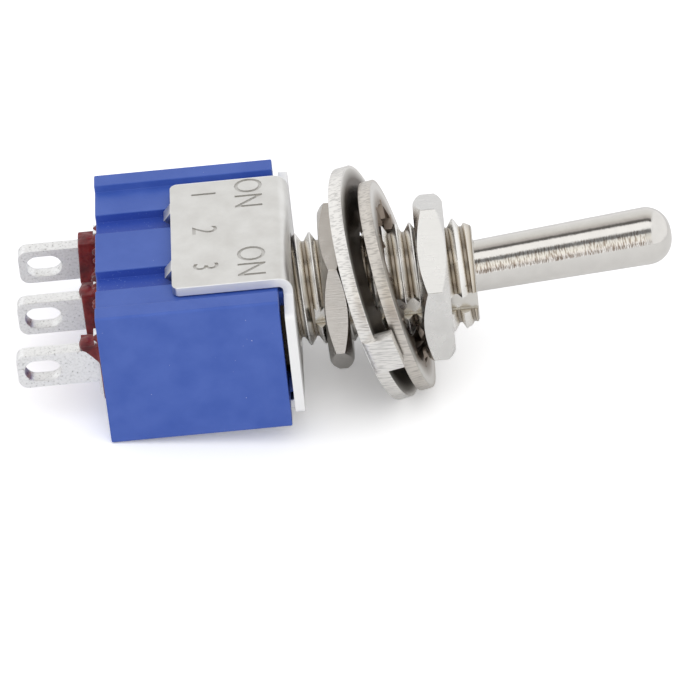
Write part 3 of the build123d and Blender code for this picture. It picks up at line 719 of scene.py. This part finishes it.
def make_bushing():
    """Blank, thread, flange, bore and keyway, in the order a turner would take them."""
    blank = turn_on_lathe(
        "threaded_bushing",
        [
            (0, FLANGE_TOP),
            (CREST, FLANGE_TOP),
            (CREST, BUSHING_LENGTH - END_LEAD),
            (CREST - 0.9 * END_CHAMFER, BUSHING_LENGTH - 0.06 * MM),
            (CREST - END_CHAMFER - 0.06 * MM, BUSHING_LENGTH),
            (0, BUSHING_LENGTH),
        ],
    )
    low, high = FLANGE_TOP - 0.2 * MM, BUSHING_LENGTH + 0.2 * MM
    boolean(blank, thread_rod("thread", 0.0, low, high, steps=128), "INTERSECT")
    flange = add_block(
        (0, 0, (FLANGE_TOP + FLANGE_UNDER) / 2),
        (FLANGE_LENGTH, FLANGE_WIDTH, FLANGE_TOP - FLANGE_UNDER),
    )
    half_length, half_width = FLANGE_LENGTH / 2, FLANGE_WIDTH / 2
    pick(flange, "EDGE", lambda c: near(abs(c.x), half_length) and near(abs(c.y), half_width))
    bpy.ops.mesh.bevel(offset=FLANGE_CORNER, segments=6, affect="EDGES")
    bpy.ops.object.mode_set(mode="OBJECT")
    boolean(blank, flange, "UNION")
    throat_latitude = math.degrees(math.acos(THROAT / BALL_SEAT))
    bore = turn_on_lathe(
        "bore",
        [
            (0, 11 * MM),
            (2.2 * MM, 11 * MM),
            (2.2 * MM, BUSHING_LENGTH),
            (2.14 * MM, BUSHING_LENGTH - 0.05 * MM),
            (2.06 * MM, BUSHING_LENGTH - 0.12 * MM),
        ]
        + arc(BALL_SEAT, throat_latitude, 0, 8, PIVOT.z)
        + [(TAIL_ROOM, FLANGE_UNDER), (TAIL_ROOM, FLANGE_UNDER - MM), (0, FLANGE_UNDER - MM)],
        64,
    )
    boolean(blank, bore, "DIFFERENCE")
    keyway = add_block(
        (KEYWAY_FLOOR + KEYWAY_WIDTH / 2, 0, (KEYWAY_START + KEYWAY_END) / 2),
        (KEYWAY_WIDTH, KEYWAY_WIDTH, KEYWAY_END - KEYWAY_START),
    )
    boolean(blank, keyway, "DIFFERENCE")
    shade_evenly(blank)
    return blank


def add_reach(finish, start, end, turn=(0, 0, 0), centre=(0, 0, 0)):
    """0 to 1 as the distance from an axis of the piece passes from start to end."""
    tree = finish.node_tree
    place = {0: lay_out(finish, turn, centre), 1: (1, 1, 0)}
    flat = add_node(tree, "ShaderNodeVectorMath", place, operation="MULTIPLY").outputs["Vector"]
    length = add_node(tree, "ShaderNodeVectorMath", {0: flat}, operation="LENGTH")
    return add_range(finish, length.outputs["Value"], 0.0, 1.0, start, end)


def threaded_nickel_finish():
    """Bright nickel, painted brighter on the crests as highlight and darker in the roots as shade,
    and the flange painted near black as shade under the bracket.
    """
    finish, shader = start_finish("nickel_bushing", (0.72, 0.67, 0.59), 0.24, 1.0)
    # By distance from the axis: darker down in the thread's roots as painted shade, brighter on the
    # crests as a painted highlight.
    depth = add_reach(finish, ROOT - 0.08 * MM, CREST)
    colours = [
        (0.11, (0.74, 0.72, 0.68)),
        (0.16, (0.26, 0.21, 0.15)),
        (0.26, (0.66, 0.60, 0.51)),
        (0.52, (0.84, 0.81, 0.76)),
        (0.95, (0.93, 0.92, 0.90)),
    ]
    # The flange, down under the bracket, is painted near black as shade.
    clear_of_flange_shade = add_part(finish, "Z", FLANGE_TOP - 0.06 * MM, FLANGE_TOP + 0.04 * MM)
    turned = add_ramp(finish, depth, colours)
    links = finish.node_tree.links
    links.new(add_choice(finish, clear_of_flange_shade, (0.07, 0.058, 0.045), turned), shader.inputs["Base Color"])
    marks = add_grain(finish, 0.04 * MM, 3, stretch=(30, 30, 1))
    breath = add_grain(finish, 0.8 * MM, 3)
    links.new(add_range(finish, breath, 0.22, 0.34), shader.inputs["Roughness"])
    add_relief(finish, shader, [(marks, 0.0008 * MM), (breath, 0.003 * MM)])
    return finish


fit_piece(make_bushing(), "switch_body", "nickel_bushing", threaded_nickel_finish(), "bushing")

# ---- lever ------------------------------------------------------------------------------
# Turned brass bat with a ball that seats in the bushing and a tail that is bored for the
# plunger. The tool leaves fine rings round it, which the bright nickel doesn't hide.

LEAN = math.radians(8)
NECK = 1.29 * MM
BAT = 1.52 * MM
BAT_TIP = 14.9 * MM
TIP_ROUND = 1.3 * MM
TAIL = 1.2 * MM
TAIL_END = -8.0 * MM
TAIL_CHAMFER = 0.2 * MM
SOCKET_RADIUS = 0.75 * MM
SOCKET_LENGTH = 6.4 * MM
SOCKET_MIDDLE = -5.3 * MM
PIN_HOLE = 0.43 * MM
CHATTER_REFLECTION_HEADING = math.radians(-32.4)
CHATTER_REFLECTION_HALF = 0.44 * MM
DOME = PIVOT.z + BAT_TIP - TIP_ROUND


def make_lever():
    """Turn the bat and ball, bore its tail, cross-drill the ball and lean it to rest."""
    neck_latitude = math.degrees(math.acos(NECK / BALL))
    tail_latitude = -math.degrees(math.acos(TAIL / BALL))
    dome = arc(TIP_ROUND, 0, 90, 14, BAT_TIP - TIP_ROUND)
    flat = BAT - TIP_ROUND
    lever = turn_on_lathe(
        "toggle_lever",
        [(0, TAIL_END), (TAIL - TAIL_CHAMFER, TAIL_END), (TAIL, TAIL_END + TAIL_CHAMFER)]
        + arc(BALL, tail_latitude, neck_latitude, 28)
        + [(radius + flat, height) for radius, height in dome]
        + [(0, BAT_TIP)],
        128,
    )
    bpy.ops.mesh.primitive_cylinder_add(vertices=48, radius=SOCKET_RADIUS, depth=SOCKET_LENGTH)
    socket = bpy.context.object
    socket.data.transform(Matrix.Translation((0, 0, SOCKET_MIDDLE)))
    boolean(lever, socket, "DIFFERENCE")
    bpy.ops.mesh.primitive_cylinder_add(vertices=32, radius=PIN_HOLE, depth=4 * MM)
    drill = bpy.context.object
    drill.data.transform(Matrix.Rotation(math.radians(90), 4, "X"))
    boolean(lever, drill, "DIFFERENCE")
    lever.data.transform(Matrix.Translation(PIVOT) @ Matrix.Rotation(-LEAN, 4, "Y"))
    break_edges(lever, 0.03 * MM, sharper_than=50)
    return lever


def turned_nickel_finish():
    """Bright nickel over turned rings, with chatter streaks in a band down two sides, the band's
    brown a painted reflection.
    """
    colour = (0.77, 0.75, 0.72)
    finish, shader = start_finish("nickel_lever", colour, 0.08, 1.0)
    leant = {"turn": (0, -LEAN, 0), "centre": PIVOT}
    rings = add_grain(finish, 0.05 * MM, 2, stretch=(60, 60, 1), **leant)
    bands = add_grain(finish, 0.3 * MM, 3, stretch=(8, 8, 1), **leant)
    tracks = add_grain(finish, 0.07 * MM, 3, stretch=(5, 5, 1), **leant)
    ripple = add_grain(finish, 0.6 * MM, 2, **leant)
    dull = tuple(0.94 * part for part in colour)
    plain = add_ramp(finish, ripple, [(0.3, dull), (0.7, colour)])
    # In a band down two sides the chatter streaks are coloured brown and light; the streaks are the
    # tool's, while the band's place and its brown are a painted reflection.
    chatter_and_reflection = add_ramp(finish, tracks, [(0.38, (0.44, 0.38, 0.33)), (0.54, (0.90, 0.88, 0.85))])
    aim = Matrix.Rotation(-LEAN, 4, "Y") @ Matrix.Rotation(CHATTER_REFLECTION_HEADING, 4, "Z")
    turn = aim.to_euler("XYZ")
    edge = CHATTER_REFLECTION_HALF - 0.05 * MM
    reflection_band = add_part(finish, "Y", edge, CHATTER_REFLECTION_HALF, size=True, turn=turn, centre=PIVOT)
    streaked_reflection = add_choice(finish, reflection_band, chatter_and_reflection, plain)
    domed = add_part(finish, "Z", DOME - 0.30 * MM, DOME - 0.10 * MM)
    links = finish.node_tree.links
    links.new(add_choice(finish, domed, streaked_reflection, plain), shader.inputs["Base Color"])
    links.new(add_range(finish, bands, 0.05, 0.10), shader.inputs["Roughness"])
    turned = [(rings, 0.0012 * MM), (tracks, 0.006 * MM)]
    add_relief(finish, shader, turned + [(bands, 0.004 * MM), (ripple, 0.006 * MM)])
    return finish


fit_piece(make_lever(), "toggle", "nickel_lever", turned_nickel_finish(), "lever")

# ---- nuts -------------------------------------------------------------------------------
# Two hexagon nuts cut from brass bar. Both faces are chamfered to a ring, the flats keep the
# draw lines of the bar, and the bore is tapped to run on the bushing.

NUT_FLATS = 8.0 * MM
NUT_FACE = 3.9 * MM
NUT_CHAMFER = math.radians(30)
TAP_CLEARANCE = 0.05 * MM
SINK_MOUTH = 3.5 * MM
SINK_WALL = 2.6 * MM
SINK_OUT = 0.4 * MM
SINK_IN = 0.3 * MM


def drawn_nickel_finish(name, colour, roughness):
    """Bright nickel over drawn brass, with the bar's draw lines under the plate."""
    finish, shader = start_finish(name, colour, roughness, 1.0)
    marks = add_grain(finish, 0.06 * MM, 3, stretch=(1, 1, 16))
    breath = add_grain(finish, 0.8 * MM, 3)
    dull = tuple(0.90 * part for part in colour)
    links = finish.node_tree.links
    links.new(add_ramp(finish, breath, [(0.3, dull), (0.7, colour)]), shader.inputs["Base Color"])
    spread = add_range(finish, breath, roughness - 0.03, roughness + 0.06)
    links.new(spread, shader.inputs["Roughness"])
    add_relief(finish, shader, [(marks, 0.004 * MM), (breath, 0.005 * MM)])
    return finish


def cut_nut(node, name, body, finish, thickness, base, corner_angle):
    """Saw a hexagon off the bar, chamfer both faces and tap the bore."""
    bpy.ops.mesh.primitive_cylinder_add(
        vertices=6, radius=NUT_FLATS / 2 / math.cos(math.radians(30)), depth=thickness
    )
    nut = bpy.context.object
    nut.name = name
    corner = nut.data.vertices[0].co
    turn = math.radians(corner_angle) - math.atan2(corner.y, corner.x)
    nut.data.transform(Matrix.Rotation(turn, 4, "Z"))
    nut.data.transform(Matrix.Translation((0, 0, base + thickness / 2)))
    break_edges(nut, 0.05 * MM)
    top = base + thickness
    slope = thickness / 2 / math.tan(NUT_CHAMFER)
    chamfer = turn_on_lathe(
        "chamfer",
        [
            (0, base),
            (NUT_FACE, base),
            (NUT_FACE + slope, base + thickness / 2),
            (NUT_FACE, top),
            (0, top),
        ],
        128,
    )
    boolean(nut, chamfer, "INTERSECT")
    tap = thread_rod("tap", TAP_CLEARANCE, base - 0.3 * MM, top + 0.3 * MM)
    countersink = turn_on_lathe(
        "countersink",
        [
            (0, base - SINK_OUT),
            (SINK_MOUTH, base - SINK_OUT),
            (SINK_WALL, base + SINK_IN),
            (SINK_WALL, top - SINK_IN),
            (SINK_MOUTH, top + SINK_OUT),
            (0, top + SINK_OUT),
        ],
        72,
    )
    boolean(nut, tap, "DIFFERENCE")
    boolean(nut, countersink, "DIFFERENCE")
    break_edges(nut, 0.02 * MM, sharper_than=25)
    fit_piece(nut, body, "nickel_nut", finish, node)


cut_nut(
    "rear_nut",
    "rear_hex_nut",
    "rear_nut_body",
    drawn_nickel_finish("nickel_rear_nut", (0.77, 0.74, 0.70), 0.22),
    thickness=1.25 * MM,
    base=1.45 * MM,
    corner_angle=14.4,
)
cut_nut(
    "front_nut",
    "front_hex_nut",
    "front_nut_body",
    drawn_nickel_finish("nickel_front_nut", (0.83, 0.82, 0.80), 0.24),
    thickness=1.55 * MM,
    base=6.45 * MM,
    corner_angle=35.8,
)

# ---- washers ----------------------------------------------------------------------------
# A keyed locating washer, whose rim tab stops the switch turning in its panel, and a lock
# washer with twisted inner teeth. Both are stamped, so their rims show the sheared edge.


def stamped_finish(name, rim, centre, heading, lean, lit_rim_tone, painted_shade_tone, painted_shade_reach):
    """Stamping under nickel plate: the middle of its faces painted dark as shade, and a striated
    sheared rim whose tone is painted light.
    """
    plate = (0.80, 0.78, 0.75)
    finish, shader = start_finish(name, plate, 0.24, 1.0)
    shear = add_grain(finish, 0.08 * MM, 2, stretch=(1, 1, 12))
    breath = add_grain(finish, 0.6 * MM, 3)
    heading = math.radians(heading)
    axis = (-math.sin(heading), math.cos(heading), 0)
    turn = Matrix.Rotation(math.radians(lean), 4, axis).to_euler("XYZ")
    sheared = add_reach(finish, rim - 0.22 * MM, rim - 0.10 * MM, turn, centre)
    # Within a reach from the axis the faces are painted dark as shade.
    past_painted_shade = add_reach(finish, painted_shade_reach - 0.40 * MM, painted_shade_reach + 0.25 * MM, turn, centre)
    deeper_painted_shade = tuple(0.75 * part for part in painted_shade_tone)
    torn = tuple(0.70 * part for part in lit_rim_tone)
    links = finish.node_tree.links
    painted_shade_face = add_ramp(finish, breath, [(0.3, deeper_painted_shade), (0.65, painted_shade_tone)])
    face = add_choice(finish, past_painted_shade, painted_shade_face, plate)
    # The rim's striations come from the shearing; its tone is painted light, lighter than the plate
    # on the keyed washer as a highlight and darker on the toothed washer as shade.
    edge = add_ramp(finish, shear, [(0.36, torn), (0.52, lit_rim_tone)])
    links.new(add_choice(finish, sheared, face, edge), shader.inputs["Base Color"])
    links.new(add_range(finish, sheared, 0.40, 0.28, 0, 1), shader.inputs["Roughness"])
    add_relief(finish, shader, [(shear, 0.016 * MM), (breath, 0.006 * MM)])
    return finish


keyed = joined_copy("locating_washer", "keyed_locating_washer")
break_edges(keyed, 0.07 * MM, segments=3, sharper_than=40)
# The keyed washer's face is painted near black as shade where the toothed washer covers it.
keyed_nickel = stamped_finish(
    "nickel_keyed_washer",
    rim=6.25 * MM,
    centre=(0, 0, 4.08 * MM),
    heading=-78,
    lean=14.6,
    lit_rim_tone=(0.90, 0.88, 0.85),
    painted_shade_tone=(0.13, 0.105, 0.085),
    painted_shade_reach=5.92 * MM,
)
fit_piece(keyed, "rear_washer", "nickel_washer", keyed_nickel, "locating_washer")

toothed = joined_copy("lock_washer", "toothed_lock_washer")
break_edges(toothed, 0.12 * MM, segments=3, sharper_than=40)
# The toothed washer's face is painted darker as shade towards its teeth.
toothed_nickel = stamped_finish(
    "nickel_toothed_washer",
    rim=5.65 * MM,
    centre=(0, 0.3 * MM, 5.25 * MM),
    heading=-93,
    lean=12.8,
    lit_rim_tone=(0.70, 0.66, 0.61),
    painted_shade_tone=(0.36, 0.30, 0.25),
    painted_shade_reach=4.9 * MM,
)
fit_piece(toothed, "front_washer", "nickel_washer", toothed_nickel, "lock_washer")

# ---- studio -----------------------------------------------------------------------------
# The switch lies on its far broad side on a pale table under a wide soft lamp. Only the
# table's upper side shows, so that it hides nothing in views from behind it.

TABLE_UP = Vector((0, -0.9915, 0.130)).normalized()
TABLE_POINT = Vector((0, 3.97, -10.15)) * MM
TABLE_SIZE = 1.2
AIM = Vector((1.605, 2.325, 2.029)) * MM
CAMERA_DISTANCE = 312.97 * MM
CAMERA_AZIMUTH = math.radians(54.39)
CAMERA_ELEVATION = math.radians(1.326)
CAMERA_ROLL = math.radians(84.616)
LENS = 317.65
LAMP_SIZE = 0.30
LAMP_POWER = 0.20
LAMP_DISTANCE = 0.26


def facing(direction):
    """Turn that points a thing's own Z axis along a direction."""
    return direction.to_track_quat("Z", "Y").to_matrix().to_4x4()


def grey(level):
    return (level, level, level, 1)


scene = bpy.context.scene
scene.view_settings.view_transform = "Standard"

camera_data = bpy.data.cameras.new("camera")
camera_data.lens = LENS
camera_data.sensor_width = 36
camera_data.clip_start, camera_data.clip_end = 0.01, 10
camera = bpy.data.objects.new("camera", camera_data)
scene.collection.objects.link(camera)
backward = Vector(
    (
        math.sin(CAMERA_AZIMUTH) * math.cos(CAMERA_ELEVATION),
        -math.cos(CAMERA_AZIMUTH) * math.cos(CAMERA_ELEVATION),
        math.sin(CAMERA_ELEVATION),
    )
)
camera.matrix_world = (
    Matrix.Translation(AIM + backward * CAMERA_DISTANCE)
    @ (-backward).to_track_quat("-Z", "Y").to_matrix().to_4x4()
    @ Matrix.Rotation(CAMERA_ROLL, 4, "Z")
)
scene.camera = camera

# The table, lit from above and clear from below. It burns out to white for the camera, and
# its shadows stay.
bpy.ops.mesh.primitive_plane_add(size=TABLE_SIZE)
table = bpy.context.object
table.name = "table"
table.data.transform(Matrix.Translation(TABLE_POINT) @ facing(TABLE_UP))
table_finish = bpy.data.materials.new("table_white")
table_finish.use_nodes = True
tree = table_finish.node_tree
tree.nodes.clear()
paint = add_node(tree, "ShaderNodeBsdfDiffuse", {"Color": grey(0.86)}).outputs["BSDF"]
burnt = add_node(tree, "ShaderNodeBsdfDiffuse", {"Color": (1.17, 1.17, 1.18, 1)})
glow = add_node(tree, "ShaderNodeEmission", {"Color": grey(1), "Strength": 0.17})
glowing = {0: burnt.outputs["BSDF"], 1: glow.outputs["Emission"]}
white_top = add_node(tree, "ShaderNodeAddShader", glowing).outputs["Shader"]
looked_at = tree.nodes.new("ShaderNodeLightPath").outputs["Is Camera Ray"]
lit = {"Fac": looked_at, 1: paint, 2: white_top}
top = add_node(tree, "ShaderNodeMixShader", lit).outputs["Shader"]
under = tree.nodes.new("ShaderNodeNewGeometry").outputs["Backfacing"]
clear = tree.nodes.new("ShaderNodeBsdfTransparent").outputs["BSDF"]
cover = add_node(tree, "ShaderNodeMixShader", {"Fac": under, 1: top, 2: clear})
add_node(tree, "ShaderNodeOutputMaterial", {"Surface": cover.outputs["Shader"]})
table.data.materials.append(table_finish)

# The soft lamp, above the table and in front of the switch.
front = (backward - TABLE_UP * backward.dot(TABLE_UP)).normalized()
lamp_data = bpy.data.lights.new("soft_lamp", "AREA")
lamp_data.shape = "DISK"
lamp_data.size = LAMP_SIZE
lamp_data.energy = LAMP_POWER
lamp = bpy.data.objects.new("soft_lamp", lamp_data)
lamp.visible_glossy = False
scene.collection.objects.link(lamp)
toward_lamp = (TABLE_UP * 0.75 + front * 0.55 - Vector((0, 0, 0.10))).normalized()
lamp.matrix_world = Matrix.Translation(AIM + toward_lamp * LAMP_DISTANCE) @ facing(toward_lamp)

# The world: even light for the surfaces, and for what they mirror a white tent with darker
# strips where its panels meet and the room beyond its open front.
TENT_SIDES = (0.74, 0.74, 0.74)
TENT_SIDES_START, TENT_SIDES_FULL = 0.25, 0.30  # how far a ray points sideways
TENT_FOOT = (0.62, 0.62, 0.62)
# Degrees from straight up towards the open front, and the tone of the tent there.
TENT_PANELS = (
    (-180, TENT_FOOT),
    (-125, (0.70, 0.70, 0.71)),
    (-74, (0.68, 0.68, 0.68)),
    (-54, (0.64, 0.64, 0.63)),
    (-40, (0.60, 0.59, 0.57)),
    (-28, (0.46, 0.44, 0.42)),
    (-21, (0.38, 0.36, 0.35)),
    (-16, (0.11, 0.105, 0.10)),
    (-7, (0.11, 0.105, 0.10)),
    (-2, (0.86, 0.85, 0.84)),
    (23, (0.86, 0.86, 0.85)),
    (30, (0.16, 0.16, 0.16)),
    (41, (0.16, 0.16, 0.16)),
    (46, (0.60, 0.59, 0.56)),
    (62, (0.72, 0.70, 0.64)),
    (73, (0.64, 0.60, 0.56)),
    (79, (0.22, 0.18, 0.15)),
    (91, (0.18, 0.15, 0.13)),
    (97, (0.66, 0.65, 0.64)),
    (140, (0.65, 0.65, 0.64)),
    (180, TENT_FOOT),
)

world = bpy.data.worlds.new("tent")
scene.world = world
world.use_nodes = True
tree = world.node_tree
tree.nodes.clear()


def world_dot(direction):
    """How far the ray points along a direction."""
    ray = tree.nodes.new("ShaderNodeTexCoord").outputs["Generated"]
    dot = add_node(tree, "ShaderNodeVectorMath", {0: ray, 1: direction}, operation="DOT_PRODUCT")
    return dot.outputs["Value"]


angles = {0: world_dot(front), 1: world_dot(TABLE_UP)}
swing = add_node(tree, "ShaderNodeMath", angles, operation="ARCTAN2").outputs["Value"]
turned = add_range(world, swing, 0.0, 1.0, -math.pi, math.pi)
panels = add_ramp(world, turned, [((angle + 180) / 360, tone) for angle, tone in TENT_PANELS])
across = {0: world_dot(TABLE_UP.cross(front))}
sideways = add_node(tree, "ShaderNodeMath", across, operation="ABSOLUTE").outputs["Value"]
past_panels = add_range(world, sideways, 0.0, 1.0, TENT_SIDES_START, TENT_SIDES_FULL)
tent_colour = add_choice(world, past_panels, panels, TENT_SIDES)

rays = tree.nodes.new("ShaderNodeLightPath")
kinds = {0: rays.outputs["Is Glossy Ray"], 1: rays.outputs["Is Transmission Ray"]}
mirrored = add_node(tree, "ShaderNodeMath", kinds, operation="MAXIMUM").outputs["Value"]
even = add_node(tree, "ShaderNodeBackground", {"Color": grey(1), "Strength": 0.80})
tent = add_node(tree, "ShaderNodeBackground", {"Color": tent_colour, "Strength": 1.35})
white = add_node(tree, "ShaderNodeBackground", {"Color": grey(1), "Strength": 1.0})
lights = {"Fac": mirrored, 1: even.outputs["Background"], 2: tent.outputs["Background"]}
light = add_node(tree, "ShaderNodeMixShader", lights).outputs["Shader"]
seen = {"Fac": rays.outputs["Is Camera Ray"], 1: light, 2: white.outputs["Background"]}
sky = add_node(tree, "ShaderNodeMixShader", seen).outputs["Shader"]
add_node(tree, "ShaderNodeOutputWorld", {"Surface": sky})
